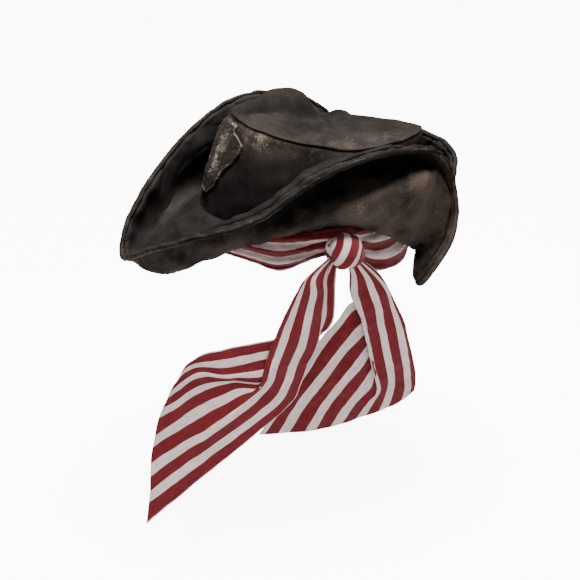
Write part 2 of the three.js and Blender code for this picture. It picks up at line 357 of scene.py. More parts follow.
def mix_paint(tree, share, first, second):
    node = put(tree, "Mix", data_type="RGBA")
    for socket, value in (("Factor_Float", share), ("A_Color", first), ("B_Color", second)):
        into = next(s for s in node.inputs if s.identifier == socket)
        if isinstance(value, bpy.types.NodeSocket):
            tree.links.new(value, into)
        else:
            into.default_value = value
    return next(s for s in node.outputs if s.identifier == "Result_Color")


# %% The wear group
wear_group, come, go = new_group("suede_wear", {"Rub": 0.0, "Cloud size": 30.0},
                                 ["Cloud", "Specks", "Height"])
spot = put(wear_group, "TexCoord").outputs["Object"]
cloud = noise(wear_group, spot, come.outputs["Cloud size"], 6, 0.6)
nap = noise(wear_group, spot, 520, 4, 0.65)
fleck = noise(wear_group, spot, 1300, 3, 0.7)
patchy = noise(wear_group, spot, 75, 4, 0.6)
patchy = ramp(wear_group, patchy, 0.35, 0.62, 0.35, 1.0)
reach = arith(wear_group, "MULTIPLY", come.outputs["Rub"], patchy)
limit = arith(wear_group, "SUBTRACT", 0.66, arith(wear_group, "MULTIPLY", reach, 0.22))
over = arith(wear_group, "SUBTRACT", fleck, limit)
wear_group.links.new(ramp(wear_group, cloud, 0.32, 0.68), go.inputs["Cloud"])
wear_group.links.new(ramp(wear_group, over, 0.0, 0.20), go.inputs["Specks"])
relief = arith(wear_group, "ADD", nap, arith(wear_group, "MULTIPLY", cloud, 0.6))
wear_group.links.new(relief, go.inputs["Height"])


# %% Suede materials
def suede(name, dark, light, speck, roughness, cloud_size=30.0, bump=0.35):
    paint = bpy.data.materials.new(name)
    paint.use_nodes = True
    tree = paint.node_tree
    shader = tree.nodes["Principled BSDF"]
    rub_and_shade = put(tree, "Attribute", attribute_name="rub_and_shade").outputs["Fac"]
    wear = put(tree, "Group", node_tree=wear_group)
    tree.links.new(rub_and_shade, wear.inputs["Rub"])
    wear.inputs["Cloud size"].default_value = cloud_size
    # A negative mark takes the dye to its dark end: painted shade, used in the brim's fold
    lift = arith(tree, "ADD", wear.outputs["Cloud"], arith(tree, "MULTIPLY", rub_and_shade, 0.9))
    dyed = mix_paint(tree, arith(tree, "MINIMUM", lift, 1.0), dark, light)
    specks = arith(tree, "MULTIPLY", wear.outputs["Specks"], 0.85)
    tree.links.new(mix_paint(tree, specks, dyed, speck), shader.inputs["Base Color"])
    tree.links.new(ramp(tree, wear.outputs["Cloud"], 0, 1, roughness + 0.08, roughness - 0.08),
                   shader.inputs["Roughness"])
    sockets = {"Height": wear.outputs["Height"], "Strength": bump, "Distance": 0.0006}
    tree.links.new(put(tree, "Bump", sockets).outputs["Normal"], shader.inputs["Normal"])
    shader.inputs["Specular IOR Level"].default_value = 0.08
    return paint


BROWN_DARK, BROWN_LIGHT = linear(5, 4, 3), linear(21, 16, 12)
# The brim's lower layer gets lighter colours than the upper one: painted light, standing in for the
# light that falls on the near belly
BRIM_LIGHT, BELLY_DARK, BELLY_PAINTED_LIT = linear(19, 15, 12), linear(6, 5, 4), linear(56, 47, 40)
HIDE_DARK, HIDE_LIGHT = linear(10, 8, 6), linear(30, 25, 20)
PALE_SPECK, BELLY_PAINTED_LIT_SPECK = linear(112, 98, 86), linear(150, 136, 124)
HIDE_SPECK = linear(175, 162, 146)
crown_suede = suede("crown_suede", BROWN_DARK, BROWN_LIGHT, PALE_SPECK, 0.8)
brim_suede = suede("brim_suede", BROWN_DARK, BRIM_LIGHT, PALE_SPECK, 0.8, 24)
under_suede_painted_lit = suede("brim_under_suede", BELLY_DARK, BELLY_PAINTED_LIT, BELLY_PAINTED_LIT_SPECK, 0.76, 26)
patch_hide = suede("patch_hide", HIDE_DARK, HIDE_LIGHT, HIDE_SPECK, 0.42, 90, 0.8)


def plain_cloth(name, dark, light, roughness, scale, stripe=(1, 1, 1), sheen=0.0):
    """A fine inner cloth: two tones in a close pattern, stretched along its ribs."""
    paint = bpy.data.materials.new(name)
    paint.use_nodes = True
    tree = paint.node_tree
    shader = tree.nodes["Principled BSDF"]
    spot = put(tree, "TexCoord").outputs["Object"]
    spot = put(tree, "Mapping", {"Vector": spot, "Scale": stripe}).outputs["Vector"]
    grain = noise(tree, spot, scale, 3, 0.6)
    dyed = mix_paint(tree, ramp(tree, grain, 0.3, 0.7), dark, light)
    tree.links.new(dyed, shader.inputs["Base Color"])
    sockets = {"Height": grain, "Strength": 0.4, "Distance": 0.0004}
    tree.links.new(put(tree, "Bump", sockets).outputs["Normal"], shader.inputs["Normal"])
    shader.inputs["Roughness"].default_value = roughness
    shader.inputs["Sheen Weight"].default_value = sheen
    return paint


lining_satin = plain_cloth("lining_satin", linear(20, 18, 18), linear(34, 31, 30), 0.42, 500,
                           (1, 1, 0.2), 0.1)
band_ribbon = plain_cloth("band_ribbon", linear(16, 15, 14), linear(36, 33, 31), 0.6, 700,
                          (1, 1, 0.08), 0.1)
stiffener_felt = plain_cloth(
    "stiffener_felt", linear(120, 117, 112), linear(160, 157, 150), 0.95, 420)
thread_cotton = plain_cloth("thread_cotton", linear(5, 4, 4), linear(14, 12, 10), 0.8, 900)
spring_wire = plain_paint("spring_wire", (0.45, 0.45, 0.46, 1), 0.35)
spring_wire.node_tree.nodes["Principled BSDF"].inputs["Metallic"].default_value = 1

# %% [markdown]
# ## Striped cotton
# The scarf is yarn-dyed twill: red stripes about 10 mm wide and white ones about 8 mm,
# along its length. The stripes and the weave read the cloth's own UV map, in metres of
# flat cloth, so they turn and gather with every fold. Where red meets white the two
# yarns mix, which leaves a thin pink line.

# %% The twill group
PITCH, RED_SHARE, STRIPE_DRIFT = 0.018, 0.57, 0.0012
RIB_PITCH, YARN_PITCH = 0.0013, 0.0008
twill_group, come, go = new_group("striped_twill", {"Shift": 0.0}, ["Red", "Edge", "Weave", "Slub"])
flat_cloth = put(twill_group, "UVMap", uv_map="cloth").outputs["UV"]
cloth_xyz = put(twill_group, "SeparateXYZ", {"Vector": flat_cloth})
cross, length = cloth_xyz.outputs["X"], cloth_xyz.outputs["Y"]
drift = arith(twill_group, "SUBTRACT", noise(twill_group, flat_cloth, 60, 2), 0.5)
drift = arith(twill_group, "MULTIPLY", drift, STRIPE_DRIFT)
across_mm = arith(twill_group, "ADD", arith(twill_group, "ADD", cross, drift), come.outputs["Shift"])
turn = arith(twill_group, "FRACT", arith(twill_group, "DIVIDE", across_mm, PITCH))
rise = ramp(twill_group, turn, 0.0, 0.035)
fall = ramp(twill_group, turn, RED_SHARE, RED_SHARE + 0.035, 1.0, 0.0)
red = arith(twill_group, "MULTIPLY", rise, fall)
edge = arith(twill_group, "MULTIPLY", red, arith(twill_group, "SUBTRACT", 1.0, red))
diagonal = arith(twill_group, "ADD", cross, arith(twill_group, "MULTIPLY", length, 1.4))
rib = arith(twill_group, "SINE", arith(twill_group, "MULTIPLY", diagonal, 2 * math.pi / RIB_PITCH))
yarn = arith(twill_group, "SINE", arith(twill_group, "MULTIPLY", length, 2 * math.pi / YARN_PITCH))
twill_group.links.new(red, go.inputs["Red"])
twill_group.links.new(edge, go.inputs["Edge"])
weave = arith(twill_group, "ADD", rib, arith(twill_group, "MULTIPLY", yarn, 0.4))
twill_group.links.new(weave, go.inputs["Weave"])
stretch = put(twill_group, "Mapping", {"Vector": flat_cloth, "Scale": (1, 0.12, 1)}).outputs["Vector"]
twill_group.links.new(noise(twill_group, stretch, 900, 4, 0.7), go.inputs["Slub"])


# %% Cotton material
def striped_cotton(name, shift):
    paint = bpy.data.materials.new(name)
    paint.use_nodes = True
    tree = paint.node_tree
    shader = tree.nodes["Principled BSDF"]
    cloth = put(tree, "Group", node_tree=twill_group)
    cloth.inputs["Shift"].default_value = shift
    slub = ramp(tree, cloth.outputs["Slub"], 0.3, 0.7)
    white = mix_paint(tree, slub, linear(196, 176, 171), linear(232, 216, 211))
    red = mix_paint(tree, slub, linear(82, 3, 12), linear(118, 12, 24))
    striped = mix_paint(tree, cloth.outputs["Red"], white, red)
    pink = arith(tree, "MULTIPLY", cloth.outputs["Edge"], 1.6)
    tree.links.new(mix_paint(tree, pink, striped, linear(158, 98, 100)), shader.inputs["Base Color"])
    height = arith(tree, "ADD", cloth.outputs["Weave"], cloth.outputs["Slub"])
    sockets = {"Height": height, "Strength": 0.5, "Distance": 0.0004}
    tree.links.new(put(tree, "Bump", sockets).outputs["Normal"], shader.inputs["Normal"])
    shader.inputs["Roughness"].default_value = 0.88
    shader.inputs["Specular IOR Level"].default_value = 0.2
    shader.inputs["Sheen Weight"].default_value = 0.12
    return paint


print("materials:", len(bpy.data.materials))

# %% [markdown]
# ## The crown's side
# A hat maker cuts the crown as a side wall and a separate top, the tip. The side is
# two panels, seamed at the front under the patch and at the back. Each follows a
# curve from the oval head opening up to the tip's edge. The soft suede slouches, so
# slow random waves move the surface, and it rolls in at every seam.

# %% Crown shape
FOOT_LENGTH, FOOT_WIDTH, WALL_BULGE = 104, 88, 5
TIP_SEAM = np.array([
    [-69, 0, 90], [-60, -34, 88], [-28, -64, 81], [22, -76, 71], [76, -66, 71], [110, -38, 67],
    [124, 0, 60], [113, 38, 54], [76, 66, 55], [22, 76, 64], [-28, 64, 82], [-60, 34, 88]], float)
TIP_CENTRE = np.array([28, 0, 74])
WALL_FOOT, SUEDE_THICKNESS = -0.065, 1.2


def foot(degrees, out=0):
    """A point of the oval head opening, in mm, out mm further from its middle."""
    a = np.radians(degrees)
    return np.stack([-(FOOT_LENGTH + out) * np.cos(a), -(FOOT_WIDTH + out) * np.sin(a), 0 * a], -1)


def tip_seam(degrees):
    line = round_curve(TIP_SEAM, np.ravel(degrees) / 30).reshape(*np.shape(degrees), 3)
    a = np.radians(degrees)
    line[..., 2] += 0.4 * np.sin(5 * a + 1) + 0.3 * np.sin(11 * a) + 0.2 * np.sin(19 * a + 2)
    return line


def wall(degrees, height, inset):
    """The crown's side at an angle from the front and a share of its height, in mm."""
    degrees, height, inset = np.broadcast_arrays(degrees, height, inset)
    a = np.radians(degrees)
    out = WALL_BULGE * np.sin(math.pi * height) - inset
    share = height[..., None]
    point = foot(degrees) * (1 - share) + tip_seam(degrees) * share
    point[..., 0] -= np.cos(a) * out
    point[..., 1] -= np.sin(a) * out
    return point


def slouch(points):
    """Soft folds of the crown's suede, in mm, at points in mm."""
    p = np.asarray(points)
    slow, quick = ripple(p, 70, 3), ripple(p, 26, 4)
    return 1.5 * slow + 0.5 * quick - 0.4 * hill(ripple(p * (1, 1, 0.4), 90, 8), 0.2)


# %% Crown side panels
def crown_panel(name, first, last, node):
    degrees = np.linspace(first + 0.15, last - 0.15, 181)[:, None]
    height = np.linspace(WALL_FOOT, 1, 72)[None, :]
    base = wall(degrees, height, 0)
    to_end = np.minimum(degrees - first, last - degrees) * 1.7
    tuck = 1.0 * hill(to_end, 1.8) + 0.9 * smooth_step(0.955, 0.995, height)
    groove = 0.5 * hill(to_end - 5.5, 0.9)
    sag = slouch(base) * smooth_step(0, 0.12, height) * smooth_step(1.0, 0.86, height)
    inset = tuck + groove - sag
    outer = wall(degrees, height, inset)
    inner = wall(degrees, height, inset + SUEDE_THICKNESS)
    rub_and_shade = 0.5 * smooth_step(0.6, 0.97, height) + 0.25 * hill(to_end - 3, 3)
    rub_and_shade += 0.7 * rubbed(base, CROWN_RUBS)
    points = both_faces(outer, inner) * MM
    flat = plain_flat(degrees, points)
    panel = lay_grid(name, points, flat, {"rub_and_shade": two_sided(rub_and_shade)})
    fit(panel, crown_suede, "suede", "hat", node)


def rubbed(points, spots):
    """How rubbed the suede is near each spot: x, y, z, reach in mm, and strength."""
    total = np.zeros(points.shape[:-1])
    for x, y, z, reach, strength in spots:
        total += strength * hill(np.linalg.norm(points - (x, y, z), axis=-1), reach)
    return total


CROWN_RUBS = [(-60, -40, 84, 18, 0.9), (-20, -72, 78, 14, 0.3), (20, -78, 70, 16, 0.4)]
crown_panel("crown_left_panel", 0, 180, "crown_side_left")
crown_panel("crown_right_panel", 180, 360, "crown_side_right")

# %% [markdown]
# ## The crown's tip
# The tip is an oval of suede sewn over the side's upper edge. It isn't stiff, so it
# has sunk into humps and hollows. A grid of angles and rings makes it: each ring is
# closed, the last one turns down over the seam as a rolled lip, and the underside
# comes back to the middle.

# %% Tip shape
# Where a bump is, how wide and deep it is, and how high, all in mm
BUMP_FLATNESS = 1.4
TIP_BUMPS = [(-12, 20, 38, 34, 27), (52, 26, 12, 18, 8), (-50, -24, 24, 18, 4), (30, 10, 10, 30, -5),
             (-20, -26, 44, 12, -4)]
TIP_CREASES = [
    # where a crease runs, its width and its depth, all in mm
    ([(-66, 20), (-52, 4), (-30, -6), (-6, -10), (14, -6)], 7, -6.0),
    ([(-56, -10), (-30, -20), (-4, -24), (20, -18)], 7, 3.0),
    ([(14, 34), (17, 20), (16, 8)], 4, -6.0),
    ([(30, 2), (50, -8), (80, -14), (104, -12)], 8, -3.6),
    ([(84, 22), (94, 12), (99, 4)], 3, -3.0),
    ([(-40, -34), (0, -48), (50, -46)], 10, 2.4),
]


def near_line(x, y, line):
    """Distance from each point to a bent line."""
    best = np.full(np.shape(x), 1e9)
    for (ax, ay), (bx, by) in zip(line, line[1:]):
        long = (bx - ax) ** 2 + (by - ay) ** 2
        share = np.clip(((x - ax) * (bx - ax) + (y - ay) * (by - ay)) / long, 0, 1)
        best = np.minimum(best, np.hypot(x - ax - share * (bx - ax), y - ay - share * (by - ay)))
    return best


def tip(degrees, share, lift):
    degrees, share, lift = np.broadcast_arrays(degrees, share, lift)
    eased = share ** 2 * (3 - 2 * share)
    rim = tip_seam(degrees)
    point = TIP_CENTRE * (1 - share[..., None]) + rim * share[..., None]
    x, y = point[..., 0], point[..., 1]
    height = TIP_CENTRE[2] * (1 - eased) + rim[..., 2] * eased + lift
    for bx, by, wide, deep, high in TIP_BUMPS:
        away = ((x - bx) / wide) ** 2 + ((y - by) / deep) ** 2
        height += high * np.exp(-away ** BUMP_FLATNESS) * (1 - share ** 4)
    loose = smooth_step(1.0, 0.86, share)
    for line, width, depth in TIP_CREASES:
        height += depth * hill(near_line(x, y, line), width) * loose
    height += loose * slouch(point) * 0.9
    point[..., 2] = height
    return point


# %% Crown tip
degrees = np.linspace(0, 360, 361)[:-1, None]
share = np.concatenate([np.linspace(0, 0.9, 62), np.linspace(0.91, 1, 16)])[None, :]
top = tip(degrees, share, 1.5)
to_rim = (1 - share) * np.linalg.norm(tip_seam(degrees) - TIP_CENTRE, axis=-1)
a = np.radians(degrees)
outward = np.stack([-np.cos(a), -np.sin(a), 0 * a], -1)
proud = 0.35 + 0.65 * hill(degrees - 95, 70)   # the seam is fullest on the knot's side
top[..., 2] += proud * 0.3 * (hill(to_rim - 2.2, 1.8) - hill(to_rim - 5, 0.9)) \
    - 0.3 * hill(to_rim, 1.0)
TIP_RUBS = [(30, -60, 74, 30, 0.9), (-10, -60, 84, 22, 0.5), (70, -55, 68, 24, 0.6)]
LIP = ((0.2, 0.3), (0.3, 0.8), (0.1, 1.3), (-0.2, 1.6), (-0.5, 1.5))
lip = [top[:, -1:] + outward * out * proud[..., None] + (0, 0, -down) for out, down in LIP]
under = top - (0, 0, SUEDE_THICKNESS)
under[:, -1:] -= outward * 0.6
full = np.concatenate([top, *lip, under[:, ::-1]], axis=1)
mark = 0.2 * hill(to_rim - 2, 14) + 0.1 * smooth_step(60, 110, top[..., 2])
mark += 0.6 * rubbed(top, TIP_RUBS)
mark = np.concatenate([mark, mark[:, -1:].repeat(5, axis=1), mark[:, ::-1]], axis=1)
flat = np.stack([full[..., 0], full[..., 1]], -1) * MM
marks = {"rub_and_shade": close_round(mark)}
crown_tip = lay_grid("crown_tip_panel", close_round(full) * MM, close_round(flat), marks)
fit(crown_tip, crown_suede, "suede", "hat", "crown_tip")

# %% [markdown]
# ## Inside the crown
# Turned over, the hat shows a black satin lining, sewn in soft pleats, and a ribbed
# ribbon sweatband round the opening. They are thin sheets that follow the crown's
# shape a little further in, so nothing floats and nothing touches.

# %% Lining and sweatband
degrees = np.linspace(0, 360, 289)[:-1, None]
height = np.linspace(0, 0.97, 40)[None, :]
pleat = 0.25 * np.sin(np.radians(degrees) * 36) * smooth_step(0.97, 0.4, height)
lining = both_faces(wall(degrees, height, 4.2 + pleat), wall(degrees, height, 4.8 + pleat))
flat = plain_flat(degrees, lining)
lining_side = lay_grid("lining_side", close_round(lining) * MM, close_round(flat))
fit(lining_side, lining_satin, "lining", "hat", "crown_lining_side")

share = np.linspace(0, 0.93, 40)[None, :]
tuck = 0.3 * np.sin(np.radians(degrees) * 36) * share ** 2
inner, outer = tip(degrees, share, -3.0 + tuck), tip(degrees, share, -3.6 + tuck)
under = np.concatenate([inner, outer[:, ::-1]], axis=1)
flat = under[..., :2] * MM
lining_top = lay_grid("lining_top", close_round(under) * MM, close_round(flat))
fit(lining_top, lining_satin, "lining", "hat", "crown_lining_tip")

height = np.linspace(0.01, 0.36, 26)[None, :]
hem = 0.35 * hill(height - 0.345, 0.012) + 0.35 * hill(height - 0.02, 0.012)
band = both_faces(wall(degrees, height, 5.2), wall(degrees, height, 5.8 + hem))
flat = plain_flat(degrees, band)
sweatband = lay_grid("sweatband_ribbon", close_round(band) * MM, close_round(flat))
fit(sweatband, band_ribbon, "ribbon", "hat", "sweatband")

# %% [markdown]
# ## The worn patch
# A scrap of stiff hide is glued to the crown's front. Its outline is ragged, its rim
# is puffed up, and its face has cracked into plates whose edges are rubbed pale. Rows
# of height, left angle and right angle give its outline, and the same wall function
# lays it on the crown.

# %% Patch
PATCH_ROWS = np.array([
    [0.2, -12, 4], [0.3, -11, 8], [0.42, -12, 13], [0.54, -14, 17], [0.66, -18, 22],
    [0.76, -20, 26], [0.82, -19, 25], [0.86, -18, 17], [0.9, -17, 11], [0.97, -16, 12]], float)
rows = open_curve(PATCH_ROWS, np.linspace(0, 1, 90))
side = np.linspace(0, 1, 60)[None, :]
height, low, high = (rows[:, k:k + 1] for k in range(3))
ragged = 0.7 * np.sin(height * 23) + 0.35 * np.sin(height * 61 + 1) + 0.2 * np.sin(height * 140)
angle = low + (high - low) * side + ragged * (2 * side - 1)
to_side = np.minimum(side, 1 - side) * (high - low) * 1.8
inward = np.minimum(to_side, np.minimum(height - PATCH_ROWS[0, 0], PATCH_ROWS[-1, 0] - height) * 90)
base = wall(angle, height, 0)
crack = hill(ripple(base, 13, 21), 0.10) + hill(ripple(base, 9, 22), 0.08)
puff = 1.3 * smooth_step(-0.2, 1.6, inward) + 0.5 * hill(inward - 1.6, 1.2)
puff -= 0.5 * crack * smooth_step(1, 3, inward)
puff += 0.25 * ripple(base, 7, 23)
sag = slouch(base) * smooth_step(0, 0.12, height) * smooth_step(1.0, 0.86, height)
face = wall(angle, height, -0.9 - puff - sag)
rear = wall(angle, height, -0.35 - sag)
rub_and_shade = 0.35 + 0.5 * hill(inward - 1.6, 1.5) + 0.6 * hill(angle - 2, 7) * hill(height - 0.62, 0.3)
points = both_faces(face, rear)
flat = plain_flat(height, points)
patch = lay_grid("worn_patch", points * MM, flat, {"rub_and_shade": two_sided(rub_and_shade)})
fit(patch, patch_hide, "patch", "hat", "crown_patch")

# %% [markdown]
# ## The brim
# The brim is a ring of two suede layers with a stiffener between them, folded up into
# three flaps with sharp corners. It could be a flat disc bent by a simulation, but a
# real one keeps the folds that years of wear gave it, so its folds are given:
# at each station round the hat, five points give the belly, the fold, the hollow
# above it, the crest and the edge.

# %% Brim stations
# Degrees round the opening, then belly, fold, hollow, crest and edge, in mm
BRIM_START = -0.8
BRIM_STATIONS = table(16, """
    0    -128 0 -14  -154 0 -34  -172 0 -40  -181 0 -38  -189 0 -38
    20   -121 -35 -16  -148 -40 -40  -168 -45 -34  -176 -46 -17  -184 -49 -16
    40   -100 -65 -10  -121 -73 -21  -134 -78 -10  -140 -80 8  -150 -85 5
    60   -70 -91 0  -80 -99 3  -83 -100 14  -84 -101 36  -93 -113 25
    78   -35 -109 14  -36 -117 23  -31 -98 41  -34 -108 69  -42 -123 58
    94   1 -112 13  0 -124 34  4 -91 54  2 -116 83  -2 -127 75
    110  38 -108 0  39 -120 40  37 -87 57  38 -112 84  40 -120 79
    120  71 -98 -20  73 -108 41  65 -81 55  72 -98 76  76 -104 72
    126  80 -94 -26  92 -103 41  91 -82 51  98 -91 68  104 -97 64
    130  86 -90 -34  106 -94 34  108 -84 40  115 -86 46  121 -92 41
    134  91 -91 -32  114 -95 6  119 -90 8  123 -92 9  126 -98 6
    138  94 -90 -32  106 -99 -25  111 -98 -24  114 -102 -24  116 -107 -26
    141  91 -85 -36  87 -100 -44  86 -103 -52  86 -105 -58  89 -108 -63
    144  93 -77 -35  88 -84 -42  86 -88 -52  86 -91 -58  88 -95 -63
    148  100 -66 -28  104 -76 -26  107 -80 -26  109 -84 -26  111 -89 -27
    152  106 -57 -23  115 -65 -12  120 -70 -3  123 -74 4  126 -79 8
    158  113 -44 -14  128 -50 4  134 -54 22  136 -58 36  140 -62 42
    167  122 -24 -4  132 -26 14  137 -28 30  139 -28 44  144 -30 50
    180  126 0 -2  134 0 16  138 0 30  140 0 42  145 0 47
    194  122 30 -6  128 34 12  132 36 26  133 38 38  137 40 44
    208  104 56 -16  112 62 -6  118 66 8  121 70 20  125 73 26
    216  98 68 -22  106 80 -24  110 86 -28  112 90 -31  114 94 -36
    224  88 80 -21  94 92 -23  97 98 -27  98 101 -30  100 106 -35
    234  72 90 -14  80 100 -4  84 103 8  86 106 19  89 110 25
    248  40 104 6  42 108 26  42 102 44  43 108 58  46 116 64
    270  2 106 14  0 110 32  -2 100 50  -1 108 66  0 120 73
    290  -36 102 6  -40 108 24  -44 98 42  -44 104 62  -44 113 69
    308  -72 84 -8  -84 90 4  -90 82 22  -92 86 40  -95 92 46
    326  -102 56 -16  -122 60 -16  -136 56 -4  -140 54 10  -145 56 15
    343  -120 28 -16  -144 30 -32  -162 30 -30  -170 27 -19  -177 25 -15""")
STATION_ROWS = []
for row in BRIM_STATIONS:
    start, rings = foot(row[0], BRIM_START), row[1:].reshape(-1, 3)
    STATION_ROWS.append([1.3 * start - 0.3 * rings[0], start, *rings])
STATION_ROWS = np.array(STATION_ROWS, float).reshape(len(BRIM_STATIONS), -1)
print(len(STATION_ROWS), "stations")


# %% Brim surface
def brim_middle(columns, shares):
    """The middle of the brim, in mm, for stations counted from the front point and
    shares of the way from the crown to the edge."""
    rows = round_curve(STATION_ROWS, columns).reshape(len(columns), 7, 3)
    rows = np.concatenate([rows, 1.7 * rows[:, -1:] - 0.7 * rows[:, -2:-1]], axis=1)
    lines = rows.transpose(1, 0, 2).reshape(8, -1)
    along = shares * 5
    k = np.clip(np.floor(along).astype(int), 0, 4)
    points = through(*(lines[k + m] for m in range(4)), (along - k)[:, None])
    return points.reshape(len(shares), len(columns), 3).transpose(1, 0, 2)


COLUMNS = np.arange(len(BRIM_STATIONS) * 16) / 16
SHARES = np.concatenate([np.linspace(-0.012, 0.8, 60), np.linspace(0.8, 1, 29)[1:]])
middle = brim_middle(COLUMNS, SHARES)
steps = np.linalg.norm(np.diff(middle, axis=1), axis=2)
run = np.concatenate([np.zeros((len(COLUMNS), 1)), np.cumsum(steps, axis=1)], axis=1)
to_edge = run[:, -1:] - run
corner = hill(COLUMNS[:, None] - 12.2, 2.2) + 0.6 * hill(COLUMNS[:, None] - 21, 1.6)

# Slow waves over the flaps, short puckers along the sewn edge
calm = smooth_step(0, 14, run) * (1 - 0.75 * np.clip(corner, 0, 1))
waves = 1.5 * ripple(middle, 75, 11) + 0.8 * ripple(middle, 30, 12)
waves -= 1.0 * hill(ripple(middle, 55, 13), 0.14)
pucker = 0.85 * ripple(middle, 13, 14) * hill(to_edge - 5, 6.5)
pucker += 0.35 * ripple(middle, 9, 15) * hill(to_edge - 4, 3)
normal = facing(middle, True)
brim = middle + normal * ((waves * smooth_step(0, 10, to_edge) + pucker) * calm)[..., None]
normal = facing(brim, True)
print("brim is", round(float(run[:, -1].mean())), "mm wide on average")


# %% [markdown]
# ### Two layers and a rolled edge
# The layers are sewn together and turned, so each ends in a round lip with a dark
# seam between the two. A row of stitches 5 to 10 mm in pulls both down into a groove,
# and the strip outside it puffs up. Heights above the middle, as a function of distance
# from the edge, give that profile.

# %% Brim layers
def lip(distance, reach):
    """1 inside the lip, falling round to 0 at the very edge."""
    return np.sqrt(np.clip(1 - (1 - np.clip(distance / reach, 0, 1)) ** 2, 0, 1))


seam_at = 5.6 + 4.5 * hill(COLUMNS - 3.4, 1.7)[:, None]
groove = hill(to_edge - seam_at, 0.8)
puff = smooth_step(0, 2.4, to_edge) * smooth_step(seam_at, seam_at - 2.2, to_edge)
swell = hill(to_edge - seam_at - 2.9, 2.2)
upper_high = 0.35 + (1.15 + 1.0 * puff + 0.35 * swell - 0.95 * groove) * lip(to_edge, 1.8)
second = hill(to_edge - 2.6, 0.5)
lower_high = 0.35 + (
    1.15 + 0.9 * puff + 0.35 * swell - 0.95 * groove - 0.6 * second) * lip(to_edge, 1.6)
near = np.full_like(to_edge, 0.25)
BRIM_RUBS = [(2, -114, 30, 16, 0.5)]


# Painted shade: the fold above the near belly gets a darker dye, standing in for the shadow under its
# crest; the belly's ridge is rubbed a little paler
painted_fold_shade = hill(SHARES - 0.64, 0.10)[None, :] * hill(COLUMNS - 6.6, 3.4)[:, None]
ridge = hill(SHARES - 0.38, 0.08)[None, :] * hill(COLUMNS - 7, 3)[:, None]


def brim_layer(name, far_heights, side, material, rubs, slot, node):
    outer = brim + normal * (side * far_heights)[..., None]
    inner = brim + normal * (side * near)[..., None]
    rub_and_shade = 0.55 * hill(to_edge - 2.6, 2.2) + 0.25 * hill(to_edge - 8.5, 2.5) \
        + 0.5 * rubbed(outer, rubs)
    # On the lower layer the fold's mask darkens the dye as painted shade, and the ridge adds wear
    rub_and_shade += (1 - side) * (0.2 * ridge - 0.9 * painted_fold_shade)
    points = close_round(both_faces(outer, inner)) * MM
    rub_and_shade = close_round(two_sided(rub_and_shade))
    layer = lay_grid(name, points, np.zeros((*rub_and_shade.shape, 2)), {"rub_and_shade": rub_and_shade})
    fit(layer, material, slot, "hat", node)


brim_layer("brim_upper_suede", upper_high, 1, brim_suede, BRIM_RUBS, "suede", "brim_upper_layer")
LOWER_RUBS = [(14, -122, 28, 18, 1.0), (66, -98, 20, 14, 0.9), (84, -94, 10, 14, 0.8),
              (40, -114, 30, 20, 0.5)]
# The lower layer takes the lighter suede, painted light for the lit belly
brim_layer("brim_lower_suede", lower_high, -1, under_suede_painted_lit, LOWER_RUBS, "suede", "brim_lower_layer")

# %% Stiffener and edge wire
core = SHARES < 0.955
points = close_round(both_faces((brim + normal * 0.15)[:, core], (brim - normal * 0.15)[:, core])) * MM
stiffener = lay_grid("brim_stiffener", points, np.zeros((*points.shape[:2], 2)))
fit(stiffener, stiffener_felt, "felt", "hat", "brim_interlining")
k = int(np.argmin(abs(SHARES - 0.975)))
outward = np.gradient(brim, axis=1)[:, k]
outward /= np.linalg.norm(outward, axis=1, keepdims=True)
turns = np.linspace(0, 2 * math.pi, 9)[None, :, None]
tube = brim[:, k:k + 1] + 0.16 * (
    np.cos(turns) * outward[:, None] + np.sin(turns) * normal[:, k:k + 1])
wire = lay_grid("brim_edge_spring", close_round(tube) * MM, np.zeros((len(tube) + 1, 9, 2)))
fit(wire, spring_wire, "wire", "hat", "brim_edge_wire")

# %% [markdown]
# ### Stitches
# One small capsule, laid again and again along the groove, makes the stitching. Each
# has few faces, because there are hundreds of them, and all of one row are one piece.

# %% Stitch rows
STITCH, GAP_BETWEEN = 2.9, 1.0


def stitch_row(name, line, up, radius=0.2):
    """A row of stitches along a closed line, lying on the surface that faces up."""
    ahead = np.linalg.norm(np.roll(line, -1, 0) - line, axis=1)
    far = np.concatenate([[0], np.cumsum(ahead)])
    count = int(far[-1] / (STITCH + GAP_BETWEEN))
    centres = (np.arange(count) + 0.5) * far[-1] / count
    looped, looped_up = close_round(line), close_round(up)

    def read(values, at):
        return np.stack([np.interp(at, far, values[:, k]) for k in range(3)], 1)

    spot = [read(looped, centres + step) for step in (-0.7, 0, 0.7)]
    rise = read(looped_up, centres)
    bm = bmesh.new()
    for before, here, after, high in zip(*spot, rise):
        x = Vector(after - before).normalized()
        y = Vector(high).cross(x).normalized()
        place = Matrix((x, y, x.cross(y))).transposed().to_4x4()
        place.translation = Vector(here) * MM
        made = bmesh.ops.create_icosphere(bm, subdivisions=1, radius=1)["verts"]
        shape = Matrix.Diagonal((STITCH / 2 * MM, radius * MM, radius * 0.7 * MM, 1))
        bmesh.ops.transform(bm, matrix=place @ shape, verts=made)
    mesh = bpy.data.meshes.new(name)
    bm.to_mesh(mesh)
    bm.free()
    piece = add_piece(name, mesh)
    fit(piece, thread_cotton, "suede", "hat")
    print(count, "stitches")


index = np.argmin(abs(to_edge - seam_at), axis=1)
pick = np.arange(len(COLUMNS))
for name, heights, side in (("brim_upper_stitches", upper_high, 1),
                            ("brim_lower_stitches", lower_high, -1)):
    up = side * normal[pick, index]
    stitch_row(name, brim[pick, index] + up * (heights[pick, index] + 0.05)[:, None], up)

# %% [markdown]
# ## The scarf round the head
# The scarf is one long strip of cotton, about 120 mm wide. Round the head it is folded
# lengthwise, with its hem turned up inside, and it lies in loose pleats that gather
# to the knot. Its cross-section is a line that goes down outside in pleats, turns
# under the lower edge and comes up again against the head. That line takes up only
# 88 mm of the width, because its pleats are fewer and shallower than real ones.

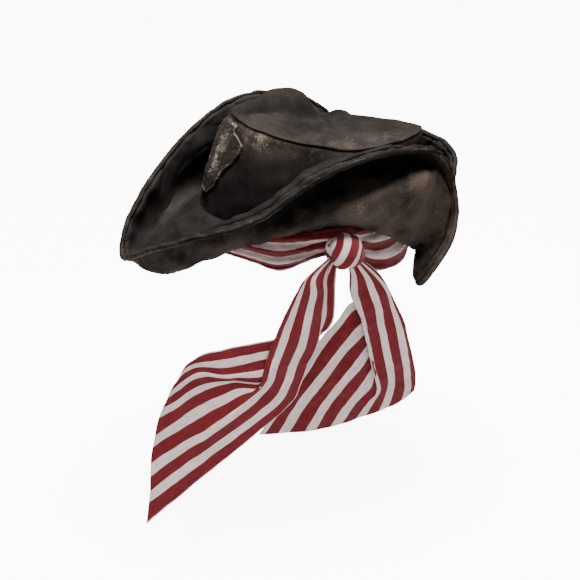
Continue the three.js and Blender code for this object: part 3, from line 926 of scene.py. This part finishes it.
# %% Wrap shape
HEM_STEPS = np.array([-37, -36, -34, -37, -43, -36, -29, -46, -58, -60, -55, -46,
                      -40, -38, -38, -38, -38, -38, -38, -38, -38, -38, -37, -37], float)
CLOTH_WIDTH, COTTON_THICKNESS = 88, 0.0008
FOLD_START, FOLD_END = 49, 52  # where the cloth turns under, in mm across it
KNOT_ANGLE, KNOT_HEIGHT = 89, -15


def wrap_points(degrees, across_cloth):
    """Points of the wrap, in mm, at each angle and distance across the cloth."""
    degrees, q = np.broadcast_arrays(degrees, across_cloth)
    hem = round_curve(HEM_STEPS[:, None], degrees.ravel() % 360 / 15)[:, 0].reshape(q.shape)
    gather = hill(degrees - KNOT_ANGLE, 13)
    near_knot = hill(degrees - KNOT_ANGLE, 30)
    outer = smooth_step(51, 46, q)
    back_up = 1 - (q - FOLD_END) / (CLOTH_WIDTH - FOLD_END)
    drop = np.where(q < FOLD_START, q / FOLD_START, np.where(q > FOLD_END, back_up, 1.0))
    wander = 0.5 * np.sin(np.radians(degrees * 3 + 20)) + 0.35 * np.sin(np.radians(degrees * 7))
    pleats = np.sin(2 * math.pi * (drop * 3.1 + wander * 0.35)) * (2.0 + 1.3 * near_knot)
    pleats += 0.8 * np.sin(2 * math.pi * (drop * 6.3 + wander)) * near_knot
    bulge = 6.0 * np.sin(math.pi * np.clip(drop, 0, 1)) ** 0.7 - 2
    pleats = pleats * smooth_step(0, 0.1, drop) * smooth_step(1, 0.85, drop)
    slack = 8 * hill(degrees - 142, 26) * smooth_step(0.6, 0.9, drop)
    out = outer * (bulge + pleats + 13 * gather + slack) - (1 - outer) * 3.6
    top = -4 + 8 * gather * outer
    bottom = hem + (KNOT_HEIGHT - 9 - hem) * gather
    x, y, _ = np.moveaxis(foot(degrees, out), -1, 0)
    return np.stack([x, y, top + (bottom - top) * drop], -1)


# %% Scarf wrap
around = np.linspace(0, 360, 361)[:-1, None]
cloth = np.linspace(0, CLOTH_WIDTH, 111)[None, :]
points = wrap_points(around, cloth)
points += facing(points, True) * (0.25 * ripple(points, 11, 31))[..., None]
flat = np.stack(np.broadcast_arrays(cloth, around * 1.65), -1) * MM
last = flat[:1] + (0, 0.594)
wrap = lay_grid("scarf_wrap", close_round(points) * MM, np.concatenate([flat, last]))
thicken(wrap, COTTON_THICKNESS)
wrap_cotton = striped_cotton("scarf_wrap_cotton", 0.0005)
fit(wrap, wrap_cotton, "cotton", "hat", "scarf_head_wrap")

# %% [markdown]
# ## The knot
# One end of the scarf goes over the other as a band and is pulled tight, so the band
# bulges in the middle and is pinched where it dives under. Its stripes run round it
# and crowd together at the pinches, like the lines of longitude on a globe. They are
# laid as for 62 mm of cloth although the band is 48 mm wide, to fit in as many as a
# tightly bunched scarf shows, so they are narrower here than elsewhere. Under it, a
# rolled core of the same cloth fills the knot.

# %% Knot
KNOT = np.array([1, -113, -14])
KNOT_TILT = math.radians(30)
HALF_STRIPED = 31  # half the cloth width that the knot's stripes are laid for, in mm


def knot_frame(axial, round_angle, radius):
    """Points at a distance along the knot's slanted axis, an angle round it, and a
    radius, in mm; angle 0 faces outwards and 90 degrees is the top."""
    axial, round_angle, radius = np.broadcast_arrays(axial, round_angle, radius)
    axis = np.array([math.cos(KNOT_TILT), 0, -math.sin(KNOT_TILT)])
    front = np.array([0, -1, 0])
    rise = np.cross(front, axis)
    rise = rise if rise[2] > 0 else -rise
    return KNOT + axial[..., None] * axis + (radius * np.cos(round_angle))[..., None] * front \
        + (radius * np.sin(round_angle))[..., None] * rise


turns = np.linspace(0, 2 * math.pi, 145)[:-1, None]
cross_band = np.linspace(-1, 1, 65)[None, :]
pinch = 1 - 0.32 * hill(np.degrees(np.angle(np.exp(1j * (turns - math.radians(-80))))), 40) \
    - 0.18 * hill(np.degrees(np.angle(np.exp(1j * (turns - math.radians(120))))), 40)
arc = cross_band * 1.5
axial = 18 * np.sin(arc) * pinch
radius = 1.5 + 16 * np.cos(arc) ** 0.8
folds = 0.9 * np.sin(cross_band * 7 + 2.2 * np.cos(turns)) + 0.5 * np.sin(cross_band * 13 - turns)
radius = radius * (0.93 + 0.07 * pinch) + folds * 0.8 * (1 - abs(cross_band) ** 4)
radius = radius - 2.0 * hill(cross_band - 0.12 - 0.22 * np.cos(turns - 0.6), 0.055)
points = knot_frame(axial, turns, radius)
flat = np.stack(np.broadcast_arrays(cross_band * HALF_STRIPED + HALF_STRIPED, turns * 14), -1) * MM
last = flat[:1] + (0, 0.088)
loop = lay_grid("scarf_knot_band", close_round(points) * MM, np.concatenate([flat, last]))
thicken(loop, 0.0009)
knot_cotton = striped_cotton("scarf_knot_cotton", -0.0065)
fit(loop, knot_cotton, "cotton", "hat", "scarf_knot_loop")

turns = np.linspace(0, 2 * math.pi, 65)[:-1, None]
length = np.linspace(-1, 1, 49)[None, :]
radius = 7.4 * np.sqrt(np.clip(1 - length ** 4, 0, 1)) * (1 + 0.06 * np.sin(turns * 5 + length * 4))
points = knot_frame(length * 17.5, turns, radius)
flat = np.stack(np.broadcast_arrays(turns * 8, length * 19), -1) * MM
core = lay_grid("scarf_knot_roll", close_round(points) * MM, close_round(flat))
fit(core, knot_cotton, "cotton", "hat", "scarf_knot_core")

# %% [markdown]
# ## The two tails
# Each tail is the same strip, hanging free from the knot. It could be dropped by a
# cloth simulation, but these folds are particular: a deep pleat starts at the knot
# and opens out further down. So each tail is a grid over a few lines that run along
# the cloth, at a known distance across it. A line keeps its stripe all the way down.

# %% Tail lines
# Distance across the cloth, then points from the knot to the cut end, all in mm
FRONT_TAIL = table(34, """
    0      -12 -112 -25  -9 -117 -37  -10 -117 -56  -11 -116 -84  -23 -116 -96  -49 -116 -94
           -75 -118 -92  -120 -118 -94  -141 -119 -94  -152 -119 -99  -159 -119 -103
    6.6    -14 -112 -24  -15 -117 -37  -15 -117 -55  -16 -116 -81  -28 -116 -98  -51 -116 -100
           -76 -118 -97  -120 -118 -98  -144 -119 -99  -156 -119 -102  -162 -119 -107
    15.6   -15 -112 -24  -19 -117 -36  -20 -117 -54  -22 -116 -84  -33 -116 -104  -55 -116 -108
           -79 -118 -107  -120 -118 -109  -145 -119 -105  -159 -119 -108  -167 -119 -116
    24.6   -17 -112 -24  -22 -117 -36  -24 -117 -54  -28 -116 -85  -37 -116 -110  -58 -116 -117
           -82 -118 -116  -120 -118 -118  -146 -119 -110  -162 -119 -115  -173 -119 -124
    33.6   -19 -112 -24  -25 -117 -37  -28 -117 -54  -34 -116 -84  -43 -116 -113  -62 -116 -123
           -86 -119 -125  -122 -119 -122  -147 -120 -115  -165 -119 -124  -177 -119 -132
    42.6   -21 -112 -23  -28 -117 -37  -32 -117 -53  -39 -116 -83  -47 -116 -114  -65 -116 -129
           -88 -117 -133  -120 -118 -126  -148 -119 -122  -168 -119 -134  -180 -119 -139
    51.6   -22 -112 -23  -31 -117 -36  -36 -117 -53  -44 -116 -82  -52 -116 -113  -69 -116 -133
           -88 -117 -137  -119 -118 -129  -149 -119 -132  -171 -119 -143  -185 -119 -149
    60.6   -24 -112 -23  -33 -117 -36  -40 -117 -52  -50 -116 -80  -59 -116 -106  -72 -116 -128
           -86 -118 -139  -115 -118 -133  -150 -119 -142  -171 -119 -153  -190 -119 -162
    69.6   -26 -112 -22  -36 -119 -34  -46 -119 -50  -59 -119 -76  -68 -118 -100  -77 -118 -120
           -87 -119 -141  -109 -119 -142  -148 -119 -155  -169 -119 -165  -193 -119 -179
    78.6   -28 -113 -22  -41 -122 -32  -51 -122 -47  -65 -122 -74  -74 -121 -96  -81 -121 -116
           -87 -120 -138  -104 -119 -149  -142 -119 -168  -167 -119 -178  -196 -119 -192
    87.6   -27 -114 -21  -39 -123 -31  -48 -123 -47  -57 -122 -73  -65 -122 -97  -73 -122 -118
           -79 -121 -138  -98 -120 -154  -138 -120 -178  -165 -120 -190  -198 -120 -208
    96.6   -25 -114 -22  -38 -124 -30  -43 -124 -48  -49 -124 -74  -56 -123 -98  -65 -123 -119
           -71 -122 -139  -87 -120 -160  -131 -120 -185  -162 -120 -202  -199 -120 -223
    105.6  -23 -114 -22  -34 -124 -31  -35 -124 -49  -41 -124 -75  -46 -123 -100  -54 -123 -120
           -61 -122 -141  -77 -120 -162  -124 -120 -192  -158 -120 -211  -200 -120 -237
    114.6  -20 -114 -22  -28 -123 -32  -27 -123 -51  -31 -122 -78  -36 -122 -103  -45 -122 -123
           -52 -121 -143  -66 -120 -167  -117 -120 -200  -154 -120 -224  -202 -120 -253
    121    -19 -114 -23  -23 -123 -33  -23 -123 -51  -25 -122 -79  -29 -122 -104  -39 -122 -124
           -46 -121 -144  -58 -120 -165  -111 -120 -204  -150 -120 -230  -204 -120 -269""")
REAR_TAIL = table(34, """
    0      15 -110 -21  38 -106 -43  50 -106 -66  55 -106 -94  38 -105 -82  13 -105 -73
           -3 -105 -90  -22 -105 -111  -36 -106 -140  -59 -106 -170  -84 -106 -200
    10.1   14 -110 -22  33 -106 -44  46 -106 -60  50 -106 -80  34 -105 -88  19 -105 -90
           5 -105 -104  -10 -105 -121  -27 -106 -142  -49 -106 -169  -71 -106 -202
    28.1   14 -110 -22  26 -106 -44  39 -106 -61  47 -106 -79  49 -105 -95  38 -105 -108
           24 -105 -119  11 -105 -133  -7 -106 -154  -26 -106 -177  -45 -106 -205
    46.1   11 -110 -23  22 -106 -44  31 -106 -60  40 -106 -77  46 -105 -92  45 -105 -108
           41 -105 -124  33 -105 -143  12 -106 -166  -6 -106 -188  -17 -106 -207
    64.1   6 -111 -23  8 -110 -41  10 -110 -59  19 -109 -77  27 -109 -94  31 -108 -112
           35 -108 -133  38 -108 -152  39 -107 -171  24 -107 -184  9 -107 -204
    73.1   7 -112 -22  11 -112 -41  11 -112 -60  17 -112 -80  22 -111 -96  26 -110 -112
           30 -110 -129  34 -109 -147  41 -108 -173  33 -108 -186  23 -107 -201
    82.1   9 -112 -22  17 -112 -43  22 -112 -59  28 -112 -79  32 -111 -96  35 -110 -112
           39 -110 -130  43 -110 -149  47 -108 -168  42 -108 -183  35 -108 -199
    91.1   11 -112 -21  24 -113 -44  29 -114 -59  37 -113 -80  40 -112 -96  44 -112 -112
           48 -111 -131  52 -111 -150  55 -108 -167  52 -108 -183  47 -108 -196
    100.1  12 -112 -20  30 -113 -45  40 -114 -62  46 -113 -82  50 -112 -98  53 -112 -114
           57 -111 -133  61 -111 -151  64 -108 -169  63 -108 -182  59 -108 -193
    109.1  13 -112 -20  34 -113 -45  46 -114 -63  53 -113 -83  58 -112 -99  62 -112 -116
           66 -111 -134  70 -111 -153  73 -108 -170  73 -108 -180  71 -108 -188
    116.5  14 -112 -19  37 -112 -45  49 -112 -64  57 -112 -84  64 -111 -101  69 -110 -117
           74 -110 -136  77 -110 -155  79 -108 -169  79 -108 -177  78 -108 -183
    120    15 -112 -19  38 -112 -44  50 -112 -65  59 -112 -84  66 -111 -100  71 -110 -118
           76 -110 -137  80 -110 -155  82 -108 -167  82 -108 -175  81 -108 -181""")

# %% Tails
TUCKED_IN = 0.55


def hang_tail(name, lines, cloth_length, shift, seed, node):
    """A tail whose stripes follow its lines, with its top tucked into the knot."""
    across_at, grid = lines[:, 0], lines[:, 1:].reshape(len(lines), -1, 3)
    grid[:, 0] = KNOT + TUCKED_IN * (grid[:, 0] - KNOT)
    down = np.linspace(0, 1, 200)
    along = np.stack([open_curve(row, down) for row in grid])
    u = np.linspace(0, across_at[-1], 150)
    k = np.clip(np.searchsorted(across_at, u, side="right") - 1, 0, len(across_at) - 2)
    f = (u - across_at[k]) / (across_at[k + 1] - across_at[k])
    padded = np.concatenate([2 * along[:1] - along[1:2], along, 2 * along[-1:] - along[-2:-1]])
    points = through(*(padded[k + m] for m in range(4)), f[:, None, None])
    soft = 0.6 * ripple(points, 34, seed) + 0.28 * ripple(points, 14, seed + 1)
    points = points + facing(points, False) * (soft * smooth_step(0, 0.15, down))[..., None]
    flat = np.stack(np.broadcast_arrays(u[:, None], down[None, :] * cloth_length), -1) * MM
    tail = lay_grid(name, points * MM, flat)
    thicken(tail, COTTON_THICKNESS)
    paint = striped_cotton(name + "_cotton", shift)
    fit(tail, paint, "cotton", None, node)
    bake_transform(tail)
    return tail


front_tail = hang_tail("scarf_front_tail", FRONT_TAIL, 270, -0.0015, 41, "scarf_tail_front")
rear_tail = hang_tail("scarf_rear_tail", REAR_TAIL, 210, -0.005, 51, "scarf_tail_rear")

# %% [markdown]
# ## The size at the finish
# The visual model may stand a little proud of the CAD box, as cloth does.
# Both boxes are printed, the CAD box at the start and this one here.

# %% Size
low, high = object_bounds()
print("visual box, mm:", [round(v / MM) for v in high - low])
